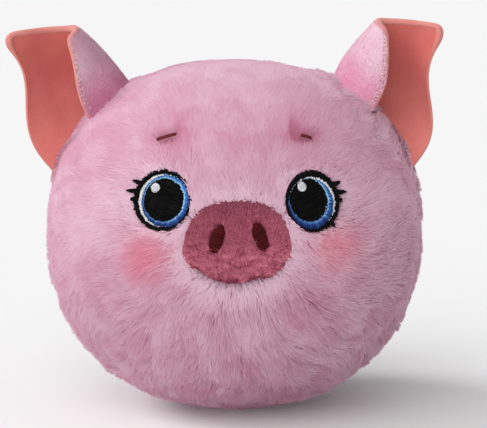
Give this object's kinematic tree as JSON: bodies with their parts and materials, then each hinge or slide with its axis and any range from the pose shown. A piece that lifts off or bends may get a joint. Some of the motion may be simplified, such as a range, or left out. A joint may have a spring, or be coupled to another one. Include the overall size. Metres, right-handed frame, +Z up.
{
  "type": "plush pig",
  "caption": "Ball-shaped plush pig with a stitched face, short-pile snout and two soft ears that flex at their sewn roots; rests on its base.",
  "frame": {"origin": "centre of the small flat that the body rests on", "axes": "+Z up, the face looks along -Y, +X towards the pig's own left ear"},
  "size_m": [0.1191, 0.0957, 0.1062],
  "materials": {
    "pink_plush": "long-pile plush",
    "coral_lining": "smooth brushed cloth",
    "edge_thread": "sewing thread",
    "rose_short_pile": "short pile",
    "dark_red_thread": "satin stitch",
    "black_thread": "satin stitch",
    "white_thread": "satin stitch",
    "blue_thread": "satin stitch",
    "brown_thread": "satin stitch",
    "stuffing": "loose fibre",
    "pellets": "pellets in a cloth pouch"
  },
  "bodies": {
    "body": {"face_panel": "pink_plush", "left_back_panel": "pink_plush", "right_back_panel": "pink_plush", "stuffing": "stuffing", "pellet_pouch": "pellets", "snout_pad": "rose_short_pile", "left_nostril_stitching": "dark_red_thread", "right_nostril_stitching": "dark_red_thread", "left_eye_outline": "black_thread", "left_eye_white": "white_thread", "left_eye_iris_ring": "blue_thread", "left_eye_pupil": "black_thread", "left_eye_glint": "white_thread", "left_brow_stitch": "brown_thread", "right_eye_outline": "black_thread", "right_eye_white": "white_thread", "right_eye_iris_ring": "blue_thread", "right_eye_pupil": "black_thread", "right_eye_glint": "white_thread", "right_brow_stitch": "brown_thread", "left_ear_root": "pink_plush", "right_ear_root": "pink_plush"},
    "left_ear": {"left_ear_plush": "pink_plush", "left_ear_lining": "coral_lining", "left_ear_edge_thread": "edge_thread"},
    "right_ear": {"right_ear_plush": "pink_plush", "right_ear_lining": "coral_lining", "right_ear_edge_thread": "edge_thread"}
  },
  "joints": [
    {"name": "left_ear_flex", "type": "hinge", "parent": "body", "child": "left_ear", "pos_m": [0.04517, 0, 0.08129], "axis": [0.6157, 0, -0.788], "range_deg": [-35, 35], "stiffness_Nm_per_rad": 0.01, "deforming": ["left_ear_root"]},
    {"name": "right_ear_flex", "type": "hinge", "parent": "body", "child": "right_ear", "pos_m": [-0.04517, 0, 0.08129], "axis": [0.6157, 0, 0.788], "range_deg": [-35, 35], "stiffness_Nm_per_rad": 0.01, "deforming": ["right_ear_root"]}
  ]
}
